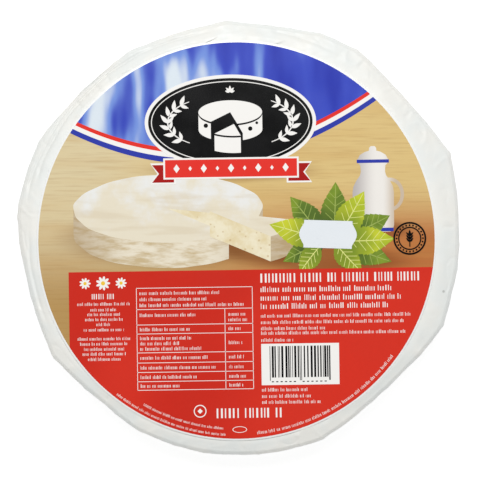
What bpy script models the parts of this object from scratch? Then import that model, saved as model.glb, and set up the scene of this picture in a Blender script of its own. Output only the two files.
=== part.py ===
"""A shut wheel of goat brie in folded white paper, with a round label and a price sticker on its top.

Metres, +Z up. The wheel stands on z = 0, its box is centred on the Z axis, and +Y is the label's head.
"""

import math

import bmesh
import bpy
from mathutils import Matrix

# The wrapped wheel
HEIGHT = 0.0335
BODY_RADIUS = 0.0962  # the round cheese in its paper, between the folds
TOP_FLAT_RADIUS = 0.0916  # the top is flat out to here, and a skirt of paper slopes down beyond it
TOP_RING_SHARE = 0.6  # one more ring of points lies on the flat top, at this share of its radius
SKIRT_SHARES = (0.0, 0.5, 1.0)  # the rings of points across the skirt
SKIRT_DROP = 0.0009
SHOULDER_INSET = 0.0027
SHOULDER_DROP = 0.0058
SHOULDER_STEPS = 7
EAR_DROP = 0.16  # how far a fold's corner hangs at the shoulder, as a share of its reach
WAIST_HEIGHT = 0.0160  # above it the folds stand out by their full reach
FOOT_RISE = 0.0072
FOOT_INSET = 0.0068
FOOT_STEPS = 6
WALL_HEIGHTS = (0.0210, WAIST_HEIGHT, 0.0112)  # the rings of points down the wall
FOOT_SHARE = 0.62  # how much of the folds' reach is left where the paper turns under

# Each fold of the paper: its angle, the distance of its corner from the middle, and how tightly the paper
# is drawn from there to the next fold. At 1 the panel is straight, and at 0 it bows like the cheese.
FOLDS = (
    (1.0, 0.1011, 0.35),
    (21.5, 0.1044, 0.70),
    (57.5, 0.1019, 0.20),
    (68.0, 0.1009, 0.75),
    (93.0, 0.0993, 0.50),
    (120.0, 0.0989, 0.50),
    (154.0, 0.1016, 0.20),
    (174.0, 0.1017, 0.50),
    (212.5, 0.1008, 0.70),
    (242.0, 0.0992, 0.00),
    (265.0, 0.0993, 0.10),
    (292.0, 0.1000, 0.58),
    (336.5, 0.1020, 0.70),
    (352.0, 0.1014, 0.60),
)
COLUMN_STEP = 3.0  # degrees between the columns of a panel
FEWEST_STEPS = 3  # even a narrow panel has this many
LAP_WIDTH = 1.3  # degrees over which the overlapping paper steps down to the panel that it covers
LAP_DEPTH = 0.0010  # at the waist and under the wheel; the step fades out towards the top
LAP_FADE = 0.42  # the covered panel is back at its full reach this share of the way to its next fold
FOLD_SLANT = 3.0  # degrees that a fold turns on its way down the wall
GATHER_TURN = 24.0  # degrees that it turns further under the wheel, towards the middle
PRESSED_RADIUS = 0.0130  # the gathered paper is pressed into a flat disc here
GATHER_RADII = (0.0780, 0.0620, 0.0460, 0.0300, 0.0190)

# The label and the sticker
SKIN_GAP = 0.0003  # between a glued sheet and what it is glued to
LABEL_RADIUS = 0.0910
LABEL_THICKNESS = 0.0004
LABEL_CENTRE = (-0.0006, -0.0011)
LABEL_SIDES = 144
STICKER_LENGTH = 0.0262
STICKER_WIDTH = 0.0126
STICKER_THICKNESS = 0.0003
STICKER_BODY_LENGTH = 0.0220  # between the steps at its two ends
STICKER_STEP = 0.0013  # the short straight piece of each end, at the corners
STICKER_CENTRE = (0.0410, 0.0017)
STICKER_TURN = -1.7
NOSE_STEPS = 10
NOSE_BLUNTNESS = 0.6  # at 1 the nose is a plain cosine wave, and below 1 it is blunter

MERGE_WITHIN = 0.00001
DECIMALS = 7  # a mesh stores short floats, so its coordinates are read back rounded
SHARP_FROM = 35.0  # degrees; a sharper edge isn't shaded smooth
COLLECTION = "wrapped_goat_brie"


def clear_scene():
    for item in list(bpy.data.objects):
        bpy.data.objects.remove(item, do_unlink=True)


def new_collection(name):
    collection = bpy.data.collections.new(name)
    bpy.context.scene.collection.children.link(collection)
    return collection


def material(name, colour, roughness):
    made = bpy.data.materials.new(name)
    made.use_nodes = True
    shader = made.node_tree.nodes["Principled BSDF"]
    shader.inputs["Base Color"].default_value = (*colour, 1.0)
    shader.inputs["Roughness"].default_value = roughness
    shader.inputs["Metallic"].default_value = 0.0
    made.diffuse_color = (*colour, 1.0)
    return made


def smooth_step(x):
    x = min(max(x, 0.0), 1.0)
    return x * x * (3.0 - 2.0 * x)


def arc(centre, radii, start, end, steps):
    """Points on an ellipse in the XZ plane, from the start angle to the end angle, without the first."""
    points = []
    for i in range(1, steps + 1):
        angle = math.radians(start + (end - start) * i / steps)
        points.append((centre[0] + radii[0] * math.cos(angle), centre[1] + radii[1] * math.sin(angle)))
    return points


def wheel_profile():
    """Half of the round wheel's section, from the middle of its top to the middle of its foot."""
    shoulder_radius = BODY_RADIUS - SHOULDER_INSET
    shoulder_height = HEIGHT - SKIRT_DROP - SHOULDER_DROP
    points = [(0.0, HEIGHT), (TOP_RING_SHARE * TOP_FLAT_RADIUS, HEIGHT)]
    for share in SKIRT_SHARES:
        radius = TOP_FLAT_RADIUS + (shoulder_radius - TOP_FLAT_RADIUS) * share
        points.append((radius, HEIGHT - SKIRT_DROP * share))
    shoulder = (shoulder_radius, shoulder_height)
    points += arc(shoulder, (SHOULDER_INSET, SHOULDER_DROP), 90, 0, SHOULDER_STEPS)
    points += [(BODY_RADIUS, height) for height in WALL_HEIGHTS]
    points += arc((BODY_RADIUS - FOOT_INSET, FOOT_RISE), (FOOT_INSET, FOOT_RISE), 0, -90, FOOT_STEPS)
    points += [(radius, 0.0) for radius in (*GATHER_RADII, PRESSED_RADIUS)]
    return points + [(0.0, 0.0)]


def wheel_columns():
    """The columns of the skin: each has its fold's number, its share along the panel and its angle."""
    columns = []
    for i, (angle, _, _) in enumerate(FOLDS):
        width = (FOLDS[(i + 1) % len(FOLDS)][0] - angle) % 360.0
        steps = max(FEWEST_STEPS, round((width - LAP_WIDTH) / COLUMN_STEP))
        columns.append((i, 0.0, angle))
        for k in range(steps):
            turned = LAP_WIDTH + (width - LAP_WIDTH) * k / steps
            columns.append((i, turned / width, angle + turned))
    return columns


def reach(fold, along):
    """The outline's distance from the middle at a share of the way along a fold's panel."""
    angle, here, tightness = FOLDS[fold]
    next_angle, there, _ = FOLDS[(fold + 1) % len(FOLDS)]
    half = math.radians((next_angle - angle) % 360.0) / 2
    sag = tightness * (1.0 - math.cos(half)) * math.sin(math.pi * along)
    return (here + (there - here) * along) * (1.0 - sag)


def tuck(along):
    """How far a panel is sunk behind the fold over it: 0 on the fold, 1 just past it, then 0 again."""
    if along == 0.0:
        return 0.0
    return 1.0 - smooth_step(along / LAP_FADE)


def fold_share(radius, height):
    """How much of the folds' reach shows at a point of the plain wheel's section."""
    foot_edge = BODY_RADIUS - FOOT_INSET
    if height >= WAIST_HEIGHT:
        return min(1.0, (HEIGHT - height) / SKIRT_DROP)
    if height > 0.0 or radius >= foot_edge:
        return FOOT_SHARE + (1.0 - FOOT_SHARE) * smooth_step(height / WAIST_HEIGHT)
    return FOOT_SHARE * max(0.0, (radius - PRESSED_RADIUS) / (foot_edge - PRESSED_RADIUS))


def fold_turn(radius, height):
    """The degrees that the folds have turned at a point of the plain wheel's section."""
    down_the_wall = FOLD_SLANT * (HEIGHT - height) / HEIGHT
    towards_the_middle = GATHER_TURN * max(0.0, 1.0 - radius / (BODY_RADIUS - FOOT_INSET))
    return down_the_wall + (towards_the_middle if height == 0.0 else 0.0)


def skin_point(radius, height, column):
    """Where the paper lies for a point of the plain wheel, given by its section and its column."""
    fold, along, angle = column
    share = fold_share(radius, height)
    sunk = tuck(along)
    reached = share * (reach(fold, along) - BODY_RADIUS)
    out = radius + reached
    above_waist = smooth_step((height - WAIST_HEIGHT) / (HEIGHT - WAIST_HEIGHT))
    up = height - EAR_DROP * reached * above_waist
    if height > 0.0:
        out -= LAP_DEPTH * (1.0 - above_waist) * sunk * min(1.0, height / FOOT_RISE)
    if height < FOOT_RISE:
        gathered = smooth_step((radius - PRESSED_RADIUS) / PRESSED_RADIUS)
        up += LAP_DEPTH * sunk * gathered * (1.0 - height / FOOT_RISE)
    turned = math.radians(angle + fold_turn(radius, height))
    return out * math.cos(turned), out * math.sin(turned), up


def turned_mesh(name, profile, steps):
    """A closed turned body from a profile round the Z axis, as a plain mesh."""
    mesh = bpy.data.meshes.new(name + "_profile")
    mesh.from_pydata([(x, 0.0, z) for x, z in profile], [(i, i + 1) for i in range(len(profile) - 1)], [])
    holder = bpy.data.objects.new(name + "_profile", mesh)
    bpy.context.scene.collection.objects.link(holder)
    screw = holder.modifiers.new("turn", "SCREW")
    screw.steps = steps
    screw.render_steps = steps
    screw.use_merge_vertices = True
    screw.merge_threshold = MERGE_WITHIN
    bpy.context.view_layer.update()
    turned = bpy.data.meshes.new_from_object(holder.evaluated_get(bpy.context.evaluated_depsgraph_get()))
    bpy.data.objects.remove(holder, do_unlink=True)
    return turned


def centre_on_axis(mesh):
    """Moves a mesh so that its box is centred on the Z axis."""
    xs = [v.co.x for v in mesh.vertices]
    ys = [v.co.y for v in mesh.vertices]
    mesh.transform(Matrix.Translation((-(min(xs) + max(xs)) / 2, -(min(ys) + max(ys)) / 2, 0.0)))


def shade_round(mesh):
    """Smooth shading that keeps the sharp edges."""
    mesh.shade_smooth()
    mesh.set_sharp_from_angle(angle=math.radians(SHARP_FROM))


def wrapped_wheel(collection):
    """The cheese in its paper: a turned wheel whose skin is drawn out to the folds and tucked in."""
    columns = wheel_columns()
    mesh = turned_mesh("wrapped_wheel", wheel_profile(), len(columns))
    mesh.name = "wrapped_wheel"
    for vertex in mesh.vertices:
        radius = round(math.hypot(vertex.co.x, vertex.co.y), DECIMALS)
        height = max(0.0, round(vertex.co.z, DECIMALS))
        share = math.atan2(vertex.co.y, vertex.co.x) / math.tau
        vertex.co = skin_point(radius, height, columns[round(share * len(columns)) % len(columns)])
    centre_on_axis(mesh)
    mesh.materials.append(material("wrapping_paper", (0.80, 0.80, 0.77), 0.45))
    shade_round(mesh)
    collection.objects.link(bpy.data.objects.new("wrapped_wheel", mesh))


def label(collection):
    """The round printed label, a thin sheet on the flat of the top."""
    mesh = bpy.data.meshes.new("label")
    shape = bmesh.new()
    bmesh.ops.create_cone(
        shape,
        cap_ends=True,
        segments=LABEL_SIDES,
        radius1=LABEL_RADIUS,
        radius2=LABEL_RADIUS,
        depth=LABEL_THICKNESS,
    )
    shape.to_mesh(mesh)
    shape.free()
    mesh.materials.append(material("printed_label", (0.42, 0.12, 0.05), 0.35))
    shade_round(mesh)
    disc = bpy.data.objects.new("label", mesh)
    disc.location = (*LABEL_CENTRE, HEIGHT + SKIN_GAP + LABEL_THICKNESS / 2)
    collection.objects.link(disc)
    return disc


def nose_points():
    """The sticker's right end, upwards: a short step at each corner and a wave out to the nose."""
    body = STICKER_BODY_LENGTH / 2
    bulge = STICKER_LENGTH / 2 - body
    half = STICKER_WIDTH / 2 - STICKER_STEP
    points = [(body, -STICKER_WIDTH / 2)]
    for i in range(NOSE_STEPS + 1):
        y = half * (2.0 * i / NOSE_STEPS - 1.0)
        wave = 0.5 * (1.0 + math.cos(math.pi * y / half))
        points.append((body + bulge * wave ** NOSE_BLUNTNESS, y))
    return points + [(body, STICKER_WIDTH / 2)]


def price_sticker(collection, under):
    """The small blank sticker, with its wavy short ends, on the label."""
    right = nose_points()
    outline = right + [(-x, -y) for x, y in right]
    curve = bpy.data.curves.new("price_sticker", "CURVE")
    curve.dimensions = "2D"
    curve.fill_mode = "BOTH"
    curve.extrude = STICKER_THICKNESS / 2
    spline = curve.splines.new("POLY")
    spline.points.add(len(outline) - 1)
    for point, (x, y) in zip(spline.points, outline, strict=True):
        point.co = (x, y, 0.0, 1.0)
    spline.use_cyclic_u = True
    curve.materials.append(material("sticker_paper", (0.75, 0.79, 0.80), 0.40))
    sticker = bpy.data.objects.new("price_sticker", curve)
    sticker.parent = under
    sticker.location = (
        STICKER_CENTRE[0] - LABEL_CENTRE[0],
        STICKER_CENTRE[1] - LABEL_CENTRE[1],
        LABEL_THICKNESS / 2 + SKIN_GAP + STICKER_THICKNESS / 2,
    )
    sticker.rotation_euler.z = math.radians(STICKER_TURN)
    collection.objects.link(sticker)


def main():
    clear_scene()
    collection = new_collection(COLLECTION)
    wrapped_wheel(collection)
    price_sticker(collection, label(collection))


main()
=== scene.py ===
# %% [markdown]
# A wheel of goat brie, sold whole. The cheese is wrapped in white coated paper, which is drawn over the
# top, folded round the wall and gathered under the foot. A big round printed label is glued to the top,
# and a small blank price sticker to the label. The solid model already holds the three pieces at their
# real size, so this lesson starts by loading it, and then makes each piece look like what it is.

# %% Load the solid model
import math
import random

import bpy
from mathutils import Matrix, Vector, noise


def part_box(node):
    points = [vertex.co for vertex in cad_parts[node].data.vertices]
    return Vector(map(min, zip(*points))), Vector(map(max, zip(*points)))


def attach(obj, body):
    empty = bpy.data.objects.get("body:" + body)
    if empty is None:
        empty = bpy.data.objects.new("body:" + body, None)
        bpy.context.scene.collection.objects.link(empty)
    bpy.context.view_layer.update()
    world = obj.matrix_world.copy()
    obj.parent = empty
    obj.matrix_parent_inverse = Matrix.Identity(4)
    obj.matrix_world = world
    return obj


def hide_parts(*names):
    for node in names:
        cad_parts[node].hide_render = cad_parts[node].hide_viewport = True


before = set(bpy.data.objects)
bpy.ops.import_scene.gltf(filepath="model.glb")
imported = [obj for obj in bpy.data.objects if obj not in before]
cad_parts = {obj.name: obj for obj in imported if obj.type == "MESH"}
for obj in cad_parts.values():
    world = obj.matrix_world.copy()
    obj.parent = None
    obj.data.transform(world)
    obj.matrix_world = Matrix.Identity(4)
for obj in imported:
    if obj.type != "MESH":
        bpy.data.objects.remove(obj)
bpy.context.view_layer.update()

MM = 0.001
wheel_low, wheel_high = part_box("wrapped_wheel")
label_low, label_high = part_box("label")
sticker_low, sticker_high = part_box("price_sticker")
TOP = wheel_high.z
print("wheel, mm:", [round(size / MM, 1) for size in wheel_high - wheel_low])

# %% [markdown]
# Blender's modelling operators act on whatever is selected, so a lesson in them needs one small habit:
# select one piece alone before each operator. The colours of a photograph are written from 0 to 255, and a
# shader wants them linear, so another helper converts them.

# %% Small helpers
def only(piece):
    """Selects one piece alone and makes it the active one."""
    bpy.ops.object.select_all(action="DESELECT")
    piece.select_set(True)
    bpy.context.view_layer.objects.active = piece


def edit_all(piece):
    """Opens a piece in edit mode with everything selected."""
    only(piece)
    bpy.ops.object.mode_set(mode="EDIT")
    bpy.ops.mesh.select_all(action="SELECT")


def leave_edit():
    bpy.ops.object.mode_set(mode="OBJECT")


def linear(red, green, blue):
    """A colour read from 0 to 255, as a shader takes it."""
    shares = [value / 255 for value in (red, green, blue)]
    return (*[s / 12.92 if s < 0.04045 else ((s + 0.055) / 1.055) ** 2.4 for s in shares], 1.0)


print("mid grey, 128 of 255, as a shader takes it:", round(linear(128, 128, 128)[0], 3))

# %% [markdown]
# The paper is one sheet, and its big folds are already in the solid: the corners in the outline, the laps
# on the wall and the gathers underneath. What the solid lacks is paper's own small life. We copy its mesh,
# merge the loose triangles, turn them into quads and let a Subdivision Surface modifier round them. The
# folds get a crease first, so that they stay sharp. Building the sheet again from a primitive would also
# work, but it could then drift away from the solid that it stands for.

# %% Copy the wrapped wheel
QUAD_LIMIT = math.radians(60)


def copy_of_solid(node, name):
    """A solid's mesh as a piece of its own, with its loose triangles merged. It is left in edit mode."""
    piece = bpy.data.objects.new(name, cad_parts[node].data.copy())
    piece.data.name = name
    bpy.context.scene.collection.objects.link(piece)
    piece.data.materials.clear()
    edit_all(piece)
    bpy.ops.mesh.customdata_custom_splitnormals_clear()
    bpy.ops.mesh.remove_doubles(threshold=0.01 * MM)
    return piece


paper = copy_of_solid("wrapped_wheel", "paper_wrap")
bpy.ops.mesh.tris_convert_to_quads(face_threshold=QUAD_LIMIT, shape_threshold=QUAD_LIMIT)
leave_edit()
print("faces of the copied wheel:", len(paper.data.polygons))

# %% Crease its folds and round it
FOLD_FROM = math.radians(16)  # faces that meet at a larger angle than this make a fold
FOLD_CREASE = 0.75
RIM_FROM = 90.5 * MM  # the rim beyond the label gets finer faces, because it shows the smallest creases


def edit_faces(piece, wanted):
    """Opens a piece in edit mode with only those faces selected that a test wants."""
    edit_all(piece)
    bpy.ops.mesh.select_all(action="DESELECT")
    leave_edit()
    for face in piece.data.polygons:
        face.select = wanted(face)
    bpy.ops.object.mode_set(mode="EDIT")


def on_rim(face):
    return face.normal.z > 0.1 and math.hypot(face.center.x, face.center.y) > RIM_FROM


edit_all(paper)
bpy.ops.mesh.select_all(action="DESELECT")
bpy.ops.mesh.edges_select_sharp(sharpness=FOLD_FROM)
bpy.ops.transform.edge_crease(value=FOLD_CREASE)
leave_edit()
rounding = paper.modifiers.new("rounding", "SUBSURF")
rounding.levels = rounding.render_levels = 2
bpy.ops.object.modifier_apply(modifier="rounding")
edit_faces(paper, on_rim)
bpy.ops.mesh.subdivide(number_cuts=1)
leave_edit()
paper.data.shade_smooth()
triangles = sum(len(face.vertices) - 2 for face in paper.data.polygons)
print("paper faces:", len(paper.data.polygons), "triangles:", triangles)

# %% [markdown]
# Paper that is folded round something soft buckles in two ways. Between the folds it swells and dips in
# long upright waves, and where it has been pressed it breaks into thin, nearly straight ridges. Ridges
# come from noise too: one minus the noise's size, raised to a power, leaves a thin crest where the noise
# crosses zero. The label holds the paper flat, so the crumples only start beyond it, and the foot still
# lies on the table.

# %% Waves and ridges
# Each layer of waves has a height, a size along X, Y and Z, all in mm, and a shift of the noise.
WAVES = ((0.26, (11, 11, 26), (0, 0, 0)), (0.12, (5, 5, 14), (40, 0, 0)))
# Each layer of ridges has a sharpness too, and a height below zero makes it a groove.
RIDGES = (
    (0.20, 7, (17, 17, 30), (0, 9, 0)),
    (-0.15, 9, (12, 12, 15), (5, 0, 3)),
    (0.08, 6, (6, 6, 8), (0, -7, 0)),
)
NARROW = 2.2  # how quickly a ridge falls off on both sides of its crest


def spread(co, size, shift):
    """Where a point lies in a layer of noise of a given size."""
    return Vector([co[i] / (size[i] * MM) + shift[i] for i in range(3)])


def crest(point, sharpness):
    """A thin ridge, 1 along its crest and 0 away from it."""
    return max(0.0, 1.0 - abs(noise.noise(point)) * NARROW) ** sharpness


def crumple(co):
    """How far the paper stands out of its plain form at a point, in metres."""
    height = sum(tall * noise.noise(spread(co, size, shift)) for tall, size, shift in WAVES)
    height += sum(tall * crest(spread(co, size, shift), sharpness) for tall, sharpness, size, shift in RIDGES)
    return height * MM


rim_point = Vector((wheel_high.x, 0.0, TOP))
print("crumple at the right of the rim, mm:", round(crumple(rim_point) / MM, 3))

# %% [markdown]
# Noise is the same all round, but wrapping and packing leave marks of their own. Where the rim has been
# pressed flat, creases run along it, and where the paper was tucked in, short wrinkles run outwards. There
# are few of them and each sits in its own place, so they are listed one by one, and a bell-shaped groove
# follows each.

# %% Pressed creases and wrinkles
# Each crease runs along the rim of the top: its first and last angle, its radius, its width and its depth.
RIM_CREASES = (
    (114, 166, 95.2, 0.70, 0.60),
    (120, 172, 97.4, 0.65, 0.46),
    (96, 121, 94.8, 0.60, 0.34),
    (60, 84, 95.6, 0.70, 0.24),
    (176, 206, 95.1, 0.70, 0.30),
)
# Each short wrinkle runs outwards: its angle, the radii that it runs between, its width and depth.
RADIAL_WRINKLES = (
    (129, 92.0, 96.5, 0.60, 0.30),
    (133, 91.8, 98.0, 0.70, 0.38),
    (136, 92.2, 97.0, 0.55, -0.26),
    (140, 92.0, 97.5, 0.60, 0.30),
    (231, 91.8, 95.6, 0.60, 0.32),
    (287, 92.5, 99.5, 0.90, -0.34),
    (36, 93.0, 98.0, 0.70, 0.20),
    (3, 93.0, 99.0, 0.70, 0.22),
)


def smooth_step(x):
    x = min(max(x, 0.0), 1.0)
    return x * x * (3.0 - 2.0 * x)


def bump_profile(offset, width):
    return math.exp(-((offset / width) ** 2))


def pressed_creases(co):
    """The creases that show round the label, as a height in metres."""
    radius = math.hypot(co.x, co.y) / MM
    angle = math.degrees(math.atan2(co.y, co.x)) % 360
    height = 0.0
    for first, last, at, width, depth in RIM_CREASES:
        inside = smooth_step((angle - first) / 8) * smooth_step((last - angle) / 8)
        if inside > 0.0:
            wander = 0.8 * noise.noise(Vector((angle / 9, at, 0.0)))
            height -= inside * depth * bump_profile(radius - at - wander, width)
    for at, first, last, width, depth in RADIAL_WRINKLES:
        inside = smooth_step((radius - first) / 1.5) * smooth_step((last - radius) / 1.5)
        if inside > 0.0:
            across = math.radians(angle - at) * radius + 0.5 * noise.noise(Vector((radius / 2, at, 4.0)))
            height -= inside * depth * bump_profile(across, width)
    return height * MM


print("pressed creases:", len(RIM_CREASES), "wrinkles:", len(RADIAL_WRINKLES))

# %% [markdown]
# The wall tells more of how the cheese was wrapped than the top does. The paper was pulled down and turned
# under in one go, so long creases run down it at a slant, and they get deeper towards the foot, where
# there is too much paper for the smaller circle. They are the same crests of noise, sunk in, and read at a
# place that turns round the wheel with height, which is what slants them.

# %% Creases down the wall
CREASES_FROM = TOP - 5 * MM  # they fade in from this height to the next
CREASES_FULL = TOP - 15 * MM
# Each layer of creases has a depth in mm, a sharpness, a size in mm and a slant in degrees round the wheel.
WALL_CREASES = ((1.20, 3, 17, 7.0), (0.85, 3, 11, -9.0))


def wall_creases(co):
    """How far the creases sink into the wall at a point, in metres."""
    depth = 0.0
    for deep, sharpness, size, slant in WALL_CREASES:
        turn = Matrix.Rotation(math.radians(slant) * (TOP - co.z) / TOP, 3, "Z")
        depth += deep * crest(spread(turn @ co, (size, size, 90), (0, 0, slant)), sharpness)
    return depth * smooth_step((CREASES_FROM - co.z) / (CREASES_FROM - CREASES_FULL)) * MM


for share in (0.8, 0.4, 0.1):
    depth = wall_creases(Vector((wheel_high.x, 0.0, share * TOP)))
    print(f"creases at the right of the wall, at {share} of its height: {depth / MM:.2f} mm")

# %% Crumple the paper
FREE_PAPER = 92.2 * MM  # the paper is free to buckle outside this radius
PAPER_EDGE = 96.5 * MM  # and buckles fully outside this one
UNDERSIDE_SHARE = 0.35  # the underside is pressed against the table, so it crumples less

plain_form = [(vertex.co.copy(), vertex.normal.copy()) for vertex in paper.data.vertices]
for vertex, (co, normal) in zip(paper.data.vertices, plain_form):
    radius = math.hypot(co.x, co.y)
    under = smooth_step(-normal.z * 1.5)
    free = smooth_step((radius - FREE_PAPER) / (PAPER_EDGE - FREE_PAPER)) * (1.0 - under)
    shift = crumple(co) * max(free, UNDERSIDE_SHARE * under)
    if normal.z > 0.2 and radius > FREE_PAPER - 1 * MM:
        shift += pressed_creases(co)
    elif free > 0.0:
        shift -= wall_creases(co) * free
    co += normal * shift
    vertex.co = (co.x, co.y, max(co.z, wheel_low.z))
paper.data.update()
farthest = max((vertex.co - co).length for vertex, (co, _) in zip(paper.data.vertices, plain_form))
print("the paper's points moved by up to, mm:", round(farthest / MM, 2))

# %% [markdown]
# Coated wrapping paper is white, slightly grey-green where it is thick and slightly warm where the cheese
# shows through. It has a satin face that takes soft highlights, a fine tooth, and small flat facets where
# it has been pressed. The tooth and the facets are too fine to model, so they are a bump, and because the
# label and the sticker are paper too, the tooth is a node group that all of them share.

# %% A node group for the tooth of paper
def link(tree, source, target):
    tree.links.new(source, target)


def new_group(name, inputs, outputs):
    """A shader node group with named sockets: each input is a name, a kind and a starting value."""
    group = bpy.data.node_groups.new(name, "ShaderNodeTree")
    for title, kind, value in inputs:
        made = group.interface.new_socket(name=title, in_out="INPUT", socket_type=kind)
        if value is not None:
            made.default_value = value
    for title, kind in outputs:
        group.interface.new_socket(name=title, in_out="OUTPUT", socket_type=kind)
    print("node group", name, "puts out", [title for title, _ in outputs])
    return group, group.nodes.new("NodeGroupInput"), group.nodes.new("NodeGroupOutput")


def add(tree, kind, inputs, **settings):
    """A node with its settings and its inputs. An input that is another node's socket is linked."""
    node = tree.nodes.new(kind)
    for name, value in settings.items():
        setattr(node, name, value)
    for name, value in inputs.items():
        if isinstance(value, bpy.types.NodeSocket):
            link(tree, value, node.inputs[name])
        else:
            node.inputs[name].default_value = value
    return node


def value_noise(tree, vector, scale, detail=2.0, roughness=0.5):
    values = {"Vector": vector, "Scale": scale, "Detail": detail, "Roughness": roughness}
    return add(tree, "ShaderNodeTexNoise", values).outputs["Fac"]


def maths(tree, operation, first, second):
    return add(tree, "ShaderNodeMath", {0: first, 1: second}, operation=operation).outputs["Value"]


def paper_tooth_group():
    """Fine fibres as a height, and a slow mottle as a share from 0 to 1."""
    inputs = [("Vector", "NodeSocketVector", None), ("Fibre", "NodeSocketFloat", 1.0)]
    outputs = [("Height", "NodeSocketFloat"), ("Mottle", "NodeSocketFloat")]
    group, start, end = new_group("paper_tooth", inputs, outputs)
    vector = start.outputs["Vector"]
    drawn_out = add(group, "ShaderNodeMapping", {"Vector": vector, "Scale": (1.0, 0.55, 1.0)})
    fibre = value_noise(group, drawn_out.outputs["Vector"], 1700.0, 3.0, 0.6)
    link(group, maths(group, "MULTIPLY", fibre, start.outputs["Fibre"]), end.inputs["Height"])
    link(group, value_noise(group, vector, 55.0, 4.0, 0.55), end.inputs["Mottle"])
    return group


PAPER_TOOTH = paper_tooth_group()

# %% Helpers for a material
def ranged(tree, value, low, high, to_low=0.0, to_high=1.0):
    """A value from one range, brought smoothly to another and kept inside it."""
    inputs = {"Value": value, "From Min": low, "From Max": high, "To Min": to_low, "To Max": to_high}
    return add(tree, "ShaderNodeMapRange", inputs, interpolation_type="SMOOTHSTEP").outputs["Result"]


def fade(tree, where, axis, first, last, to_first=0.0, to_last=1.0):
    """A share that goes from one value to another between two places along an axis, in millimetres."""
    place = add(tree, "ShaderNodeSeparateXYZ", {"Vector": where}).outputs[axis]
    return ranged(tree, place, first * MM, last * MM, to_first, to_last)


def mixed(tree, share, first, second, blend="MIX"):
    """Two colours mixed by a share. A Mix node takes colours at sockets 6 and 7 and puts one out at 2."""
    inputs = {0: share, 6: first, 7: second}
    return add(tree, "ShaderNodeMix", inputs, data_type="RGBA", blend_type=blend).outputs[2]


def placed(tree, group, inputs):
    """A node group in a material, with its own values."""
    return add(tree, "ShaderNodeGroup", inputs, node_tree=group)


def blank_material(name, roughness, coat=0.0):
    """A new material: its node tree, its shader, and its Object coordinates."""
    made = bpy.data.materials.new(name)
    made.use_nodes = True
    shader = made.node_tree.nodes["Principled BSDF"]
    shader.inputs["Roughness"].default_value = roughness
    shader.inputs["Coat Weight"].default_value = coat
    shader.inputs["Coat Roughness"].default_value = 0.25
    where = made.node_tree.nodes.new("ShaderNodeTexCoord").outputs["Object"]
    return made, made.node_tree, shader, where


wrapping = blank_material("wrapping_paper", 0.45, coat=0.04)
print("a blank material's nodes:", [node.name for node in wrapping[1].nodes])

# %% [markdown]
# The mottle tints the wrapping paper, Voronoi cells and slow noise dent it, and the tooth lies over both.
# The dents make it a little rougher and smoother too. Noise that is drawn out upright adds faint streaks
# to the wall, where the paper was pulled tight, and a painted shade darkens the wall's colour in their
# hollows. The one small speck on the right is a sphere of distance round a point, so that it stays a speck
# whatever the paper's faces are.

# %% The wrapping paper's material
SPECK_AT = Vector((93.6 * MM, -24.3 * MM, TOP - 1.5 * MM))


def finish_wrapping_paper(tree, shader, where):
    tooth = placed(tree, PAPER_TOOTH, {"Vector": where, "Fibre": 1.0})
    cool, warm = linear(231, 234, 231), linear(237, 236, 230)
    tint = mixed(tree, ranged(tree, tooth.outputs["Mottle"], 0.35, 0.65), cool, warm)
    upright = add(tree, "ShaderNodeMapping", {"Vector": where, "Scale": (120.0, 120.0, 17.0)})
    streaks = value_noise(tree, upright.outputs["Vector"], 1.0, 1.5, 0.45)
    below_rim = fade(tree, where, "Z", TOP / MM - 2, TOP / MM - 9)
    above_foot = fade(tree, where, "Z", 0.2, 5)
    on_wall = maths(tree, "MULTIPLY", below_rim, above_foot)
    # painted shade: the wall's colour is darkened towards grey in the hollows of the upright streaks
    painted_crease_shade = maths(tree, "MULTIPLY", ranged(tree, streaks, 0.36, 0.50, 0.16, 0.0), on_wall)
    tint = mixed(tree, painted_crease_shade, tint, linear(188, 192, 188))
    away = add(tree, "ShaderNodeVectorMath", {0: where, 1: SPECK_AT}, operation="DISTANCE")
    speck = ranged(tree, away.outputs["Value"], 0.45 * MM, 0.85 * MM, 0.45, 0.0)
    link(tree, mixed(tree, speck, tint, linear(120, 122, 112)), shader.inputs["Base Color"])
    facets = add(tree, "ShaderNodeTexVoronoi", {"Vector": where, "Scale": 95.0}, feature="F1")
    bent = value_noise(tree, where, 210.0, 3.0, 0.5)
    height = maths(tree, "ADD", maths(tree, "MULTIPLY", facets.outputs["Distance"], 0.55), bent)
    upright_height = maths(tree, "MULTIPLY", maths(tree, "MULTIPLY", streaks, on_wall), 2.0)
    height = maths(tree, "ADD", height, upright_height)
    height = maths(tree, "ADD", height, maths(tree, "MULTIPLY", tooth.outputs["Height"], 0.22))
    bump = add(tree, "ShaderNodeBump", {"Height": height, "Strength": 0.35, "Distance": 0.35 * MM})
    link(tree, bump.outputs["Normal"], shader.inputs["Normal"])
    link(tree, ranged(tree, bent, 0.3, 0.7, 0.40, 0.54), shader.inputs["Roughness"])


finish_wrapping_paper(*wrapping[1:])
paper.data.materials.append(wrapping[0])
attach(paper, "root")
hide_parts("wrapped_wheel")
print("the wrapping paper's nodes:", len(wrapping[1].nodes))

# %% [markdown]
# The label is a disc of varnished paper with a thin white margin round the print. The sheet is a plain
# cylinder primitive whose rim is beveled, so that its cut edge catches a thin line of light. It lies on
# the wrapped top, and each ink is laid on it as its own very thin shape, the way a press lays one colour
# after another. Shapes keep the edges of the print crisp from close by, which a picture stretched over the
# label wouldn't.

# %% The label sheet
SHEET_THICKNESS = 0.22 * MM
SHEET_SUNK = 0.16 * MM  # how far the sheet reaches down into the paper, so that no gap shows at its edge
SHEET_TOP = TOP + SHEET_THICKNESS
LABEL_RADIUS = (label_high.x - label_low.x) / 2
LABEL_MIDDLE = Vector(((label_low.x + label_high.x) / 2, (label_low.y + label_high.y) / 2, 0.0))
LABEL_TURN = math.radians(0.85)  # the label was glued on with a slight turn

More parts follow.
